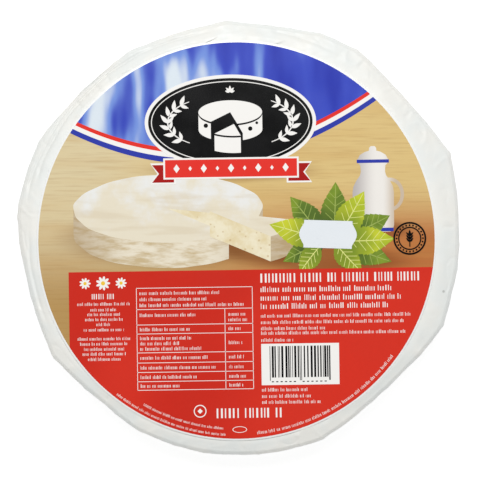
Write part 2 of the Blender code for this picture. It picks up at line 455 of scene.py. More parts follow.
bpy.ops.object.select_all(action="DESELECT")
bpy.ops.mesh.primitive_cylinder_add(
    vertices=256,
    radius=LABEL_RADIUS,
    depth=SHEET_THICKNESS + SHEET_SUNK,
    location=(LABEL_MIDDLE.x, LABEL_MIDDLE.y, SHEET_TOP - (SHEET_THICKNESS + SHEET_SUNK) / 2),
)
sheet = bpy.context.object
sheet.name = sheet.data.name = "label_sheet"
bpy.ops.object.transform_apply(location=True, rotation=True, scale=True)
edge = sheet.modifiers.new("cut edge", "BEVEL")
edge.width = 0.06 * MM
edge.segments = 2
edge.limit_method = "ANGLE"
bpy.ops.object.modifier_apply(modifier="cut edge")
edit_faces(sheet, lambda face: abs(face.normal.z) > 0.99)
bpy.ops.mesh.inset(thickness=4 * MM, depth=0.0)
leave_edit()
sheet.data.shade_smooth()
sheet.data.set_sharp_from_angle(angle=math.radians(40))
print("label sheet across, mm:", round(sheet.dimensions.x / MM, 1), "its top, mm:", round(SHEET_TOP / MM, 2))


# %% The label's bare paper
def thin_bump(tree, height, strength, shader):
    """A very shallow bump, for the tooth of paper and varnish."""
    bump = add(tree, "ShaderNodeBump", {"Height": height, "Strength": strength, "Distance": 0.05 * MM})
    link(tree, bump.outputs["Normal"], shader.inputs["Normal"])


def label_stock():
    made, tree, shader, where = blank_material("label_stock", 0.34, coat=0.2)
    tooth = placed(tree, PAPER_TOOTH, {"Vector": where, "Fibre": 0.5})
    white = mixed(tree, tooth.outputs["Mottle"], linear(238, 240, 240), linear(247, 247, 244))
    link(tree, white, shader.inputs["Base Color"])
    thin_bump(tree, tooth.outputs["Height"], 0.2, shader)
    return made


sheet.data.materials.append(label_stock())
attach(sheet, "root")
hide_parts("label")
print("the label's paper:", sheet.data.materials[0].name)

# %% [markdown]
# Every printed shape is laid out in millimetres from the label's middle, with the label's head up. A flat
# curve is the natural tool for it: its outlines are filled, an outline inside another becomes a hole, and
# its extrude gives the ink a body. The curve is made a mesh, put in its place and turned with the label. A
# shape that runs off the label's edge is first clipped to the round print, one straight side of the circle
# after another. Strokes that repeat by the hundred are one cube, copied, flattened and joined.

# %% Outlines in label millimetres, and the clip to the round print
PRINT_RADIUS = LABEL_RADIUS / MM - 0.85


def ring_of(radius, steps=180, middle=(0.0, 0.0), squash=1.0):
    turns = [math.tau * i / steps for i in range(steps)]
    return [(middle[0] + radius * math.cos(t), middle[1] + radius * squash * math.sin(t)) for t in turns]


def arc_path(middle, reach, first, last, steps=40):
    """Points along an ellipse between two angles in degrees."""
    turns = [math.radians(first + (last - first) * i / steps) for i in range(steps + 1)]
    return [(middle[0] + reach[0] * math.cos(t), middle[1] + reach[1] * math.sin(t)) for t in turns]


def clipped(outline, radius=PRINT_RADIUS, sides=180):
    """The part of an outline that lies inside the round print."""
    apothem = radius * math.cos(math.pi / sides)
    for i in range(sides):
        turn = math.tau * (i + 0.5) / sides
        nx, ny = math.cos(turn), math.sin(turn)
        kept = []
        for j, (bx, by) in enumerate(outline):
            ax, ay = outline[j - 1]
            a_out, b_out = ax * nx + ay * ny - apothem, bx * nx + by * ny - apothem
            if (a_out > 0.0) != (b_out > 0.0):
                share = a_out / (a_out - b_out)
                kept.append((ax + (bx - ax) * share, ay + (by - ay) * share))
            if b_out <= 0.0:
                kept.append((bx, by))
        outline = kept
    return outline


beyond = [(0.0, -100.0), (100.0, -100.0), (100.0, 0.0), (0.0, 0.0)]
print("a large square, clipped to the print, has", len(clipped(beyond)), "corners")

# %% From outlines to thin layers of ink
INK = 0.020 * MM  # how much higher each later ink lies
INK_SUNK = 0.020 * MM  # how far an ink reaches down into the sheet
SHAPE_STEP = 0.002 * MM  # how much higher each later shape of one ink lies, where they cross
SHAPE_STEPS = 5  # the shapes take this many heights in turn


def flat_shape(name, outlines, thickness):
    """A flat mesh from closed outlines in label millimetres, with its top face at height zero."""
    curve = bpy.data.curves.new(name, "CURVE")
    curve.dimensions = "2D"
    curve.fill_mode = "BOTH"
    curve.extrude = thickness / 2
    for outline in outlines:
        spline = curve.splines.new("POLY")
        spline.points.add(len(outline) - 1)
        for point, (x, y) in zip(spline.points, outline):
            point.co = (x * MM, y * MM, 0.0, 1.0)
        spline.use_cyclic_u = True
    piece = bpy.data.objects.new(name, curve)
    bpy.context.scene.collection.objects.link(piece)
    only(piece)
    bpy.ops.object.convert(target="MESH")
    piece = bpy.context.object
    piece.data.transform(Matrix.Translation((0.0, 0.0, -thickness / 2)))
    edit_all(piece)
    bpy.ops.mesh.remove_doubles(threshold=0.0005 * MM)
    bpy.ops.mesh.normals_make_consistent(inside=False)
    leave_edit()
    piece.data.shade_flat()
    return piece


def dressed(piece, level, ink):
    """Puts a printed piece at its level on the label, gives it its ink and makes it ride with the label."""
    height = Matrix.Translation((0.0, 0.0, SHEET_TOP + level * INK))
    piece.data.transform(Matrix.Translation(LABEL_MIDDLE) @ Matrix.Rotation(LABEL_TURN, 4, "Z") @ height)
    piece.data.materials.clear()
    piece.data.materials.append(ink)
    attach(piece, "root")
    print(f"{piece.name}: {len(piece.data.polygons)} faces at level {level}")
    return piece


print("an ink layer rises by, mm:", round(INK / MM, 3))


# %% One shape, many shapes, many strokes
def printed(name, outlines, level, ink):
    """One printed shape. An outline inside another is a hole."""
    return dressed(flat_shape(name, outlines, level * INK + INK_SUNK), level, ink)


def joined(name, shapes):
    only(shapes[0])
    for shape in shapes:
        shape.select_set(True)
    bpy.ops.object.join()
    shapes[0].name = shapes[0].data.name = name
    return shapes[0]


def printed_together(name, outlines, level, ink):
    """Many printed shapes in one piece. They may cross each other."""
    shapes = []
    for i, outline in enumerate(outlines):
        shape = flat_shape(f"{name}_{i}", [outline], level * INK + INK_SUNK)
        shape.data.transform(Matrix.Translation((0.0, 0.0, i % SHAPE_STEPS * SHAPE_STEP)))
        shapes.append(shape)
    return dressed(joined(name, shapes), level, ink)


def strokes(name, places, level, ink):
    """Copies of one plain stroke in one piece. Each has a middle, a length, a width and a turn in degrees."""
    body = level * INK + INK_SUNK
    bpy.ops.mesh.primitive_cube_add(size=1.0)
    copies = [bpy.context.object]
    for i in range(1, len(places)):
        copies.append(bpy.data.objects.new(f"{name}_{i}", copies[0].data.copy()))
        bpy.context.scene.collection.objects.link(copies[i])
    for copy, (x, y, length, width, turn) in zip(copies, places):
        put = Matrix.Translation((x * MM, y * MM, -body / 2)) @ Matrix.Rotation(math.radians(turn), 4, "Z")
        copy.data.transform(put @ Matrix.Diagonal((length * MM, width * MM, body, 1.0)))
    return dressed(joined(name, copies), level, ink)


print("the highest ink, level 14, lies at, mm:", round((SHEET_TOP + 14 * INK) / MM, 2))

# %% [markdown]
# Printing ink isn't an even film. It lies a little thicker and thinner over the paper's mottle, and the
# varnish over it has the same fine tooth. So the inks share a node group too: it takes one colour, or a
# pattern of colours, and puts out that colour made slightly uneven, with the roughness and the height that
# go with it.

# %% A node group for printing ink
def printing_ink_group():
    inputs = [
        ("Vector", "NodeSocketVector", None),
        ("Color", "NodeSocketColor", (1.0, 1.0, 1.0, 1.0)),
        ("Uneven", "NodeSocketFloat", 0.1),
    ]
    outputs = [("Color", "NodeSocketColor"), ("Roughness", "NodeSocketFloat"), ("Height", "NodeSocketFloat")]
    group, start, end = new_group("printing_ink", inputs, outputs)
    vector = start.outputs["Vector"]
    tooth = placed(group, PAPER_TOOTH, {"Vector": vector, "Fibre": 0.6})
    film = ranged(group, tooth.outputs["Mottle"], 0.3, 0.7)
    grain = ranged(group, value_noise(group, vector, 900.0), 0.3, 0.7)
    half = maths(group, "MULTIPLY", start.outputs["Uneven"], 0.5)
    thick = maths(group, "MULTIPLY", maths(group, "ADD", film, grain), half)
    darker = mixed(group, 1.0, start.outputs["Color"], (0.62, 0.62, 0.62, 1.0), "MULTIPLY")
    link(group, mixed(group, thick, start.outputs["Color"], darker), end.inputs["Color"])
    link(group, ranged(group, film, 0.0, 1.0, 0.17, 0.23), end.inputs["Roughness"])
    link(group, tooth.outputs["Height"], end.inputs["Height"])
    return group


PRINTING_INK = printing_ink_group()
VARNISH_ROUGHNESS = 0.20
VARNISH_GLOSS = 0.08  # kept low, because a bright reflection would turn the dark inks grey


def ink_from(name, pattern, uneven=0.12):
    """A varnished ink. The pattern is one colour, or a function that builds its colours from the nodes."""
    made, tree, shader, where = blank_material(name, VARNISH_ROUGHNESS)
    shader.inputs["Specular IOR Level"].default_value = VARNISH_GLOSS
    colour = pattern(tree, where) if callable(pattern) else pattern
    ink = placed(tree, PRINTING_INK, {"Vector": where, "Color": colour, "Uneven": uneven})
    link(tree, ink.outputs["Color"], shader.inputs["Base Color"])
    link(tree, ink.outputs["Roughness"], shader.inputs["Roughness"])
    thin_bump(tree, ink.outputs["Height"], 0.15, shader)
    print("ink:", name)
    return made


# %% The plain inks
def press_red(tree, where):
    """The red of the large field, which came out brighter in some places than in others."""
    bright = ranged(tree, value_noise(tree, where, 14.0, 1.0), 0.4, 0.62)
    return mixed(tree, bright, linear(206, 46, 33), linear(217, 53, 38))


WHITE_INK = ink_from("white_ink", linear(246, 244, 240), 0.05)
BLACK_INK = ink_from("black_ink", linear(9, 9, 10), 0.1)
RED_INK = ink_from("red_ink", press_red, 0.12)
BRIGHT_RED_INK = ink_from("bright_red_ink", linear(230, 54, 45), 0.1)
RIBBON_BLUE_INK = ink_from("ribbon_blue_ink", linear(50, 62, 168), 0.1)

# %% [markdown]
# The ground of the label is a light wooden table top. Wood grain is noise stretched a long way along the
# board: once broad, for the slow bands of colour, and once narrow, for the pores. The table also carries
# the soft shadows of the things that are pictured on it. A soft shadow is the distance from a middle,
# measured in an ellipse, so it is one more small node group, placed once for each thing.

# %% A node group for a soft shadow
def vector_maths(tree, operation, first, second):
    return add(tree, "ShaderNodeVectorMath", {0: first, 1: second}, operation=operation)


def soft_shadow_group():
    inputs = [
        ("Vector", "NodeSocketVector", None),
        ("Middle", "NodeSocketVector", (0.0, 0.0, 0.0)),
        ("Reach", "NodeSocketVector", (1.0, 1.0, 1.0)),
        ("Depth", "NodeSocketFloat", 0.5),
    ]
    group, start, end = new_group("soft_shadow", inputs, [("Light", "NodeSocketFloat")])
    apart = vector_maths(group, "SUBTRACT", start.outputs["Vector"], start.outputs["Middle"])
    flat = vector_maths(group, "MULTIPLY", apart.outputs["Vector"], (1.0, 1.0, 0.0))
    scaled = vector_maths(group, "DIVIDE", flat.outputs["Vector"], start.outputs["Reach"])
    away = vector_maths(group, "LENGTH", scaled.outputs["Vector"], (0.0, 0.0, 0.0)).outputs["Value"]
    shade = ranged(group, away, 0.55, 1.15, 1.0, 0.0)
    light = maths(group, "SUBTRACT", 1.0, maths(group, "MULTIPLY", shade, start.outputs["Depth"]))
    link(group, light, end.inputs["Light"])
    return group


SOFT_SHADOW = soft_shadow_group()


def shadowed(tree, where, ground, shadows, dark):
    """A ground with soft shadows. Each is a middle and a reach, in label millimetres, and a depth."""
    light = 1.0
    for x, y, reach_x, reach_y, depth in shadows:
        values = {"Vector": where, "Depth": depth}
        values["Middle"] = (x * MM, y * MM, 0.0)
        values["Reach"] = (reach_x * MM, reach_y * MM, 1.0)
        light = maths(tree, "MULTIPLY", light, placed(tree, SOFT_SHADOW, values).outputs["Light"])
    return mixed(tree, light, mixed(tree, 1.0, ground, dark, "MULTIPLY"), ground)


print("soft shadow's inputs:", [socket.name for socket in SOFT_SHADOW.interface.items_tree][:4])

# %% The wooden ground
GRAIN_TURN = -4  # degrees that the boards are turned
# Each shadow has a middle and a reach, in label millimetres, and a depth.
TABLE_SHADOWS = (
    (-31, 0, 50, 14, 0.60),
    (12, -4, 24, 9, 0.55),
    (63, 4, 17, 5, 0.50),
    (-2, 31, 40, 6, 0.45),
    (44, -10, 38, 7, 0.50),
)


def stretched(tree, where, along, across, turn=0.0):
    """Coordinates that are stretched along one direction, for grain and folds."""
    values = {"Vector": where, "Rotation": (0.0, 0.0, math.radians(turn)), "Scale": (along, across, 1.0)}
    return add(tree, "ShaderNodeMapping", values).outputs["Vector"]


def wooden_table(tree, where):
    """Light boards that turn golden in the middle, deeper below, and redder towards the lower right."""
    golden = fade(tree, where, "X", -70, -5)
    ground = mixed(tree, golden, linear(221, 205, 164), linear(222, 194, 132))
    ground = mixed(tree, fade(tree, where, "Y", 16, -34), ground, linear(184, 148, 92))
    redder = maths(tree, "MULTIPLY", fade(tree, where, "X", -50, 50), fade(tree, where, "Y", 26, -4))
    ground = mixed(tree, redder, ground, linear(188, 112, 62))
    broad = value_noise(tree, stretched(tree, where, 7, 75, GRAIN_TURN), 1.0, 4.0, 0.6)
    narrow = value_noise(tree, stretched(tree, where, 45, 900, GRAIN_TURN), 1.0, 2.0, 0.6)
    bands = ranged(tree, broad, 0.38, 0.68, 0.0, 0.30)
    pores = ranged(tree, narrow, 0.45, 0.75, 0.0, 0.22)
    ground = mixed(tree, bands, ground, linear(200, 154, 86))
    ground = mixed(tree, pores, ground, linear(160, 112, 62))
    return shadowed(tree, where, ground, TABLE_SHADOWS, linear(150, 104, 78))


printed("print_table", [ring_of(PRINT_RADIUS)], 1, ink_from("wood_print", wooden_table, 0.06))

# %% [markdown]
# Across the head of the label hangs a blue cloth, hemmed by a ribbon in red, white and blue that sags
# between the label's edges. The sag is a parabola, which is close to how a hanging ribbon falls. Every
# stripe is the strip between two such curves, so one function gives the cloth and all three stripes.

# %% The blue cloth and its striped hem
HEM_LOW = 35.0
HEM_MIDDLE = -16.0
HEM_SAG = 0.0043
BEYOND = 95.0  # past the label's edge, where a shape is clipped
RIBBON = (
    ("blue", 0.0, 2.5, RIBBON_BLUE_INK),
    ("white", 2.5, 4.7, WHITE_INK),
    ("red", 4.7, 6.6, BRIGHT_RED_INK),
)
CLOTH_FROM = 6.5  # just behind the red stripe
HEM_STEPS = 120
ACROSS = [BEYOND * (2 * i / HEM_STEPS - 1) for i in range(HEM_STEPS + 1)]


def hem(x):
    return HEM_LOW + HEM_SAG * (x - HEM_MIDDLE) ** 2


def strip(low, high):
    """The outline of a stripe along the hem, between two heights above it, clipped to the print."""
    return clipped([(x, hem(x) + low) for x in ACROSS] + [(x, hem(x) + high) for x in reversed(ACROSS)])


def cloth(tree, where):
    """Deep blue with pale, drifting folds that gather towards the left."""
    folds = value_noise(tree, stretched(tree, where, 74, 17, 24), 1.0, 2.0, 0.4)
    left = fade(tree, where, "X", 30, -50, 0.0, 0.09)
    pale = ranged(tree, maths(tree, "ADD", folds, left), 0.50, 0.76)
    deep = mixed(tree, ranged(tree, folds, 0.3, 0.6), linear(46, 58, 172), linear(66, 84, 198))
    sheen = mixed(tree, ranged(tree, pale, 0.0, 0.5), deep, linear(120, 150, 222))
    return mixed(tree, ranged(tree, pale, 0.45, 1.0), sheen, linear(222, 232, 240))


printed("print_cloth", [strip(CLOTH_FROM, BEYOND)], 2, ink_from("cloth_print", cloth, 0.08))
for colour_name, low, high, ink in RIBBON:
    printed("print_ribbon_" + colour_name, [strip(low, high)], 3, ink)

# %% [markdown]
# The picture on the table is a whole soft cheese with one wedge drawn out to the right. A wheel seen at a
# slant is an ellipse for its top and the same ellipse dropped by its height for its foot, and a cut is the
# two lines from the middle to the rim. Each face is its own shape: white rind, wrinkled side and creamy
# cut.

# %% The rind and the paste as printed
WHEEL = (-31.0, 15.0)
WHEEL_REACH = (43.0, 15.5)
WHEEL_HEIGHT = 11.5
CUT_FROM, CUT_TO = 310.0, 342.0
WEDGE_MOVED = (19.0, -1.5)


def rind_top(tree, where):
    """White rind with faint parallel marks of the mould's mat, creamier towards its lower edge."""
    bloom = value_noise(tree, where, 70.0, 4.0, 0.6)
    marks = ranged(tree, value_noise(tree, stretched(tree, where, 30, 210, 12), 1.0), 0.48, 0.66)
    low = fade(tree, where, "Y", 28, 0, 0.0, 0.25)
    cream = ranged(tree, maths(tree, "ADD", bloom, low), 0.42, 0.72)
    white = mixed(tree, cream, linear(237, 237, 234), linear(233, 224, 202))
    return mixed(tree, maths(tree, "MULTIPLY", marks, 0.38), white, linear(214, 198, 168))


def rind_side(tree, where):
    """The side of the rind, wrinkled along the wheel, browner in its hollows and darker as it turns away."""
    wrinkles = value_noise(tree, stretched(tree, where, 60, 240), 1.0, 4.0, 0.65)
    hollow = ranged(tree, wrinkles, 0.38, 0.66)
    rind = mixed(tree, hollow, linear(236, 227, 206), linear(203, 182, 142))
    to_left = fade(tree, where, "X", WHEEL[0] - 16, WHEEL[0] - WHEEL_REACH[0], 0.0, 0.55)
    to_right = fade(tree, where, "X", WHEEL[0] + 16, WHEEL[0] + WHEEL_REACH[0], 0.0, 0.55)
    return mixed(tree, maths(tree, "ADD", to_left, to_right), rind, linear(170, 143, 104))


def cut_paste(tree, where):
    """The pale paste of the cut, with a few small holes."""
    soft = ranged(tree, value_noise(tree, where, 110.0, 4.0, 0.6), 0.36, 0.66)
    paste = mixed(tree, soft, linear(241, 232, 204), linear(228, 211, 168))
    cells = add(tree, "ShaderNodeTexVoronoi", {"Vector": where, "Scale": 330.0}, feature="F1")
    hole = ranged(tree, cells.outputs["Distance"], 0.10, 0.22, 0.5, 0.0)
    return mixed(tree, hole, paste, linear(190, 156, 104))


RIND_TOP = ink_from("rind_top_print", rind_top, 0.05)
RIND_SIDE = ink_from("rind_side_print", rind_side, 0.06)
CUT_PASTE = ink_from("cut_paste_print", cut_paste, 0.05)

# %% The cheese and its wedge
def rim(first, last, drop=0.0, moved=(0.0, 0.0), steps=60):
    """Points of the pictured rim between two angles, a little uneven, as real rind is."""
    points = []
    for i in range(steps + 1):
        t = math.radians(first + (last - first) * i / steps)
        wave = 1.0 + 0.006 * math.sin(7 * t + drop) + 0.004 * math.sin(17 * t + 1)
        x = WHEEL[0] + moved[0] + WHEEL_REACH[0] * wave * math.cos(t)
        points.append((x, WHEEL[1] + moved[1] + WHEEL_REACH[1] * wave * math.sin(t) - drop))
    return points


def side_face(first, last, moved=(0.0, 0.0)):
    return rim(first, last, 0.0, moved) + rim(last, first, WHEEL_HEIGHT, moved)


def cut_face(angle, moved=(0.0, 0.0)):
    """The cut from the middle of the wheel to its rim, down to the table."""
    middle = (WHEEL[0] + moved[0], WHEEL[1] + moved[1])
    foot = (middle[0], middle[1] - WHEEL_HEIGHT)
    return [middle, rim(angle, angle, 0.0, moved, 1)[0], rim(angle, angle, WHEEL_HEIGHT, moved, 1)[0], foot]


wedge_tip = (WHEEL[0] + WEDGE_MOVED[0], WHEEL[1] + WEDGE_MOVED[1])
printed("print_wheel_cut", [cut_face(CUT_TO)], 3, CUT_PASTE)
printed("print_wheel_side_right", [side_face(CUT_TO, 361.0)], 4, RIND_SIDE)
printed("print_wheel_side", [clipped(side_face(179.0, CUT_FROM))], 4, RIND_SIDE)
printed("print_wheel_top", [clipped([WHEEL, *rim(CUT_TO, CUT_FROM + 360.0, steps=160)])], 5, RIND_TOP)
printed("print_wedge_side", [side_face(CUT_FROM, CUT_TO, WEDGE_MOVED)], 6, RIND_SIDE)
printed("print_wedge_cut", [cut_face(CUT_FROM, WEDGE_MOVED)], 6, CUT_PASTE)
printed("print_wedge_top", [[wedge_tip, *rim(CUT_FROM, CUT_TO, 0.0, WEDGE_MOVED)]], 7, RIND_TOP)

# %% [markdown]
# The lower part of the label is a plain red field that runs off its edge. It starts some way in from the
# left, so the table shows in a band beside it. Being a rectangle clipped to the round print, it needs no
# more than its two inner sides.

# %% The red field
RED_LEFT = -76.6
RED_TOP = -13.4
red_field = [(RED_LEFT, RED_TOP), (RED_LEFT, -BEYOND), (BEYOND, -BEYOND), (BEYOND, RED_TOP)]
printed("print_red_field", [clipped(red_field)], 10, RED_INK)

# %% [markdown]
# A dark oval medallion hangs over the cloth. It has a white frame, a fine white line inside it and a small
# drawing in white: a wheel of cheese with a wedge out of it, between two branches of leaves. Stems and
# lines are strips of even width, so a drawing needs one function that widens a path of points, and another
# for a pointed leaf. The branch is drawn once, on the left, and mirrored.

# %% Lines and leaves as outlines
def line_along(path, width, taper=0.0):
    """The outline of a line of a given width along a path. Taper narrows its ends."""
    left, right = [], []
    for i, (x, y) in enumerate(path):
        (ax, ay), (bx, by) = path[max(i - 1, 0)], path[min(i + 1, len(path) - 1)]
        length = math.hypot(bx - ax, by - ay) or 1.0
        from_middle = abs(2.0 * i / (len(path) - 1) - 1.0)
        half = width / 2 * (1.0 - taper * from_middle ** 2) / length
        left.append((x - (by - ay) * half, y + (bx - ax) * half))
        right.append((x + (by - ay) * half, y - (bx - ax) * half))
    return left + right[::-1]


def turned(points, turn, base):
    """Points turned about the origin by some degrees and moved to their base."""
    c, s = math.cos(math.radians(turn)), math.sin(math.radians(turn))
    return [(base[0] + x * c - y * s, base[1] + x * s + y * c) for x, y in points]


def leaf_half_width(width, share):
    """Half the width of a leaf at a share of its length. It is widest before its middle."""
    return width / 2 * math.sin(math.pi * share ** 0.85) * (1.0 - 0.25 * share)


def leaf(base, length, width, turn, bend=0.0, steps=16, teeth=0):
    """A simple pointed leaf, from its base to its tip and back, bent to one side, with or without teeth."""
    points = []
    for i in range(2 * steps):
        share = i / steps if i < steps else 2.0 - i / steps
        half = leaf_half_width(width, share) * (1.0 - 0.10 * (share * teeth % 1.0))
        points.append((share * length, (half if i < steps else -half) + bend * share ** 2))
    return turned(points, turn, base)


def mirrored(outline, about):
    """An outline turned over about an upright line."""
    return [(2.0 * about - x, y) for x, y in reversed(outline)]


print("a plain leaf has", len(leaf((0.0, 0.0), 5.0, 2.0, 0.0)), "points")

# %% The medallion and its frame
MEDALLION = (-2.0, 54.0)
MEDALLION_REACH = (39.0, 21.5)
FRAME_WIDTH = 1.6
FINE_LINE = (2.9, 3.3)  # how far inside the frame's outer edge the fine line begins and ends


def oval(inside):
    """The medallion's outline, moved inwards."""
    reach = MEDALLION_REACH[0] - inside
    return ring_of(reach, 160, MEDALLION, (MEDALLION_REACH[1] - inside) / reach)


printed("print_medallion_frame", [oval(0.0)], 8, WHITE_INK)
printed("print_medallion", [oval(FRAME_WIDTH)], 9, BLACK_INK)
printed("print_medallion_line", [oval(inside) for inside in FINE_LINE], 10, WHITE_INK)

# %% The drawn cheese on the medallion
DRAWN = (MEDALLION[0], MEDALLION[1] + 4.4)
DRAWN_REACH = (14.5, 5.4)
DRAWN_HEIGHT = 7.8
DRAWN_GAP = 0.8
GAP_SHARE = 1.16  # how much larger than the wedge the dark gap round it is
NOTCH_FROM, NOTCH_TO = 232.0, 282.0
WEDGE_OUT = (1.6, -5.4)
HOLES = ((-11.2, -6.0, 1.0), (9.0, -7.6, 1.0), (-8.2, -8.6, 0.6), (12.0, -5.0, 0.65))


def drawn_arc(first, last, drop=0.0, moved=(0.0, 0.0)):
    return arc_path((DRAWN[0] + moved[0], DRAWN[1] - drop + moved[1]), DRAWN_REACH, first, last, 24)


def drawn_side(first, last, moved=(0.0, 0.0)):
    return drawn_arc(first, last, DRAWN_GAP, moved) + drawn_arc(last, first, DRAWN_HEIGHT, moved)


drawn_tip = (DRAWN[0] + WEDGE_OUT[0], DRAWN[1] + WEDGE_OUT[1])
drawing = [[DRAWN, *arc_path(DRAWN, DRAWN_REACH, NOTCH_TO, NOTCH_FROM + 360.0, 60)]]
drawing += [drawn_side(180.0, NOTCH_FROM), drawn_side(NOTCH_TO, 360.0)]
printed("print_drawn_wheel", drawing, 10, WHITE_INK)
holes = [ring_of(radius, 20, (DRAWN[0] + x, DRAWN[1] + y)) for x, y, radius in HOLES]
wedge_foot = drawn_arc(NOTCH_TO, NOTCH_FROM, DRAWN_HEIGHT, WEDGE_OUT)
wedge_back = [drawn_arc(angle, angle, 0.0, WEDGE_OUT)[0] for angle in (NOTCH_FROM, NOTCH_TO)]
around_wedge = [wedge_back[0], drawn_tip, wedge_back[1], *wedge_foot]
wedge_heart = [sum(values) / len(around_wedge) for values in zip(*around_wedge)]
gap = []
for point in around_wedge:
    gap.append(tuple(heart + GAP_SHARE * (value - heart) for value, heart in zip(point, wedge_heart)))
printed_together("print_drawn_gaps", holes + [gap], 11, BLACK_INK)
drawn_wedge = [[drawn_tip, *drawn_arc(NOTCH_FROM, NOTCH_TO, 0.0, WEDGE_OUT)]]
drawn_wedge.append(drawn_side(NOTCH_FROM, NOTCH_TO, WEDGE_OUT))
printed("print_drawn_wedge", drawn_wedge, 12, WHITE_INK)

# %% The branches round it
BRANCH_MIDDLE = (MEDALLION[0] - 7.5, MEDALLION[1])
BRANCH_REACH = (21.0, 11.0)
BRANCH_FROM, BRANCH_TO = 238, 122  # the stem's two ends, in degrees along its arc
LEAVES_AT = range(226, 121, -15)  # where a pair of leaves grows from it
PAIR = ((4.0, 1.7, -46), (5.0, 2.1, 40))  # a length, a width and a turn from the way that the stem grows
SPRIG = (MEDALLION[0], MEDALLION[1] + 13.6)
SPRIG_LEAVES = ((3.0, 90), (2.7, 48), (2.7, 132), (2.3, 12), (2.3, 168))
SPRIG_WIDTH = 1.3
branch = [line_along(arc_path(BRANCH_MIDDLE, BRANCH_REACH, BRANCH_FROM, BRANCH_TO), 0.6, 0.4)]
for along in LEAVES_AT:
    base, ahead = arc_path(BRANCH_MIDDLE, BRANCH_REACH, along, along - 1, 1)
    growing = math.degrees(math.atan2(ahead[1] - base[1], ahead[0] - base[0]))
    branch += [leaf(base, length, width, growing + turn) for length, width, turn in PAIR]
branches = branch + [mirrored(outline, MEDALLION[0]) for outline in branch]
branches += [leaf(SPRIG, length, SPRIG_WIDTH, turn) for length, turn in SPRIG_LEAVES]
printed_together("print_branches", branches, 10, WHITE_INK)

# %% [markdown]
# A red banner hangs over the foot of the medallion. Its ends are folded back and cut like swallow tails,
# and a row of plain white diamonds runs along it. Each end is a shape of its own, a step below the banner
# and darker, so that the fold reads without any shading.

# %% The banner
BANNER = (MEDALLION[0], 33.0)
BANNER_HALF = (30.0, 4.0)
TAIL_LENGTH = 10.0
TAIL_TUCK = 4.0  # how far a tail reaches in behind the banner
TAIL_NOTCH = 3.2
TAIL_DROP = 2.2
EDGE = 0.8  # the white edge round the banner
DIAMOND_STEP = 6.2
DIAMOND_SIZES = (2.0, 1.1)  # half the height of a large diamond and of a small one
DIAMOND_SLIM = 0.7  # a diamond's width as a share of its height
DARK_RED_INK = ink_from("dark_red_ink", linear(168, 30, 28), 0.1)


def box_outline(middle, half_x, half_y):
    left, right = middle[0] - half_x, middle[0] + half_x
    low, high = middle[1] - half_y, middle[1] + half_y
    return [(left, low), (right, low), (right, high), (left, high)]


def swallow_tail(grow=0.0):
    """The left end of the banner, folded back below it."""
    inner = BANNER[0] - BANNER_HALF[0] + TAIL_TUCK + grow
    outer = inner - TAIL_LENGTH - 2 * grow
    low = BANNER[1] - BANNER_HALF[1] - TAIL_DROP - grow
    high = BANNER[1] + BANNER_HALF[1] - TAIL_DROP + grow
    notch = (outer + TAIL_NOTCH, (low + high) / 2)
    return [(inner, low), (inner, high), (outer, high), notch, (outer, low)]


tails = [swallow_tail(), mirrored(swallow_tail(), BANNER[0])]
tail_edges = [swallow_tail(EDGE), mirrored(swallow_tail(EDGE), BANNER[0])]
printed("print_banner_tail_edges", tail_edges, 10, WHITE_INK)
printed("print_banner_tails", tails, 11, DARK_RED_INK)
banner_edge = box_outline(BANNER, BANNER_HALF[0] + EDGE, BANNER_HALF[1] + EDGE)
printed("print_banner_edge", [banner_edge], 12, WHITE_INK)
printed("print_banner", [box_outline(BANNER, *BANNER_HALF)], 13, BRIGHT_RED_INK)
diamonds = []
for step in range(-4, 5):
    middle = (BANNER[0] + DIAMOND_STEP * step, BANNER[1])
    tall = DIAMOND_SIZES[step % 2]
    diamonds.append(ring_of(tall * DIAMOND_SLIM, 4, middle, 1.0 / DIAMOND_SLIM))
printed("print_banner_diamonds", diamonds, 14, WHITE_INK)

# %% [markdown]
# An enamel milk can stands on the right. It is a turned thing, so it is drawn as half an outline and
# mirrored. Its roundness comes from the ink: a pale colour that darkens towards both sides, read from how
# far across the can a point lies.

# %% The milk can
CAN = (62.5, 3.0)
# The right half of the can from its foot up: the body, the neck, and the lid with its knob.
CAN_HALF = (
    (7.6, 0.0), (8.6, 0.8), (9.3, 3.0), (9.4, 18.0), (9.0, 20.6), (7.6, 23.4),
    (6.0, 25.6), (5.5, 27.4), (5.7, 30.2), (7.0, 31.6), (7.2, 32.8),
    (6.6, 33.6), (5.9, 35.0), (3.6, 36.4), (1.7, 36.9), (1.6, 38.2), (0.9, 39.0),
)
CAN_BANDS = ((0.2, 1.8, 9.0), (31.4, 32.9, 7.3))  # each band's low and high edge and half its length
HANDLE_MIDDLE = (CAN[0] + 7.6, CAN[1] + 17.0)
HANDLE_REACH = (5.6, 6.8)
HANDLE_WIDTH = 1.6


def enamel(tree, where):
    """White enamel, bluish in the shade of its left side and warm at the right."""
    left = fade(tree, where, "X", CAN[0] + 1, CAN[0] - 11)
    right = fade(tree, where, "X", CAN[0] + 3, CAN[0] + 10)
    lit = mixed(tree, left, linear(240, 236, 230), linear(186, 180, 178))
    return mixed(tree, right, lit, linear(204, 186, 164))


can_outline = [(CAN[0] + x, CAN[1] + y) for x, y in CAN_HALF]
can_outline += [(CAN[0] - x, CAN[1] + y) for x, y in reversed(CAN_HALF)]
handle = line_along(arc_path(HANDLE_MIDDLE, HANDLE_REACH, 102, -88, 24), HANDLE_WIDTH)
ENAMEL = ink_from("enamel_print", enamel, 0.05)
printed("print_can_handle", [handle], 4, ENAMEL)
printed("print_can", [can_outline], 5, ENAMEL)
bands = []
for low, high, half in CAN_BANDS:
    bands.append(box_outline((CAN[0], CAN[1] + (low + high) / 2), half, (high - low) / 2))
printed("print_can_bands", bands, 6, RIBBON_BLUE_INK)

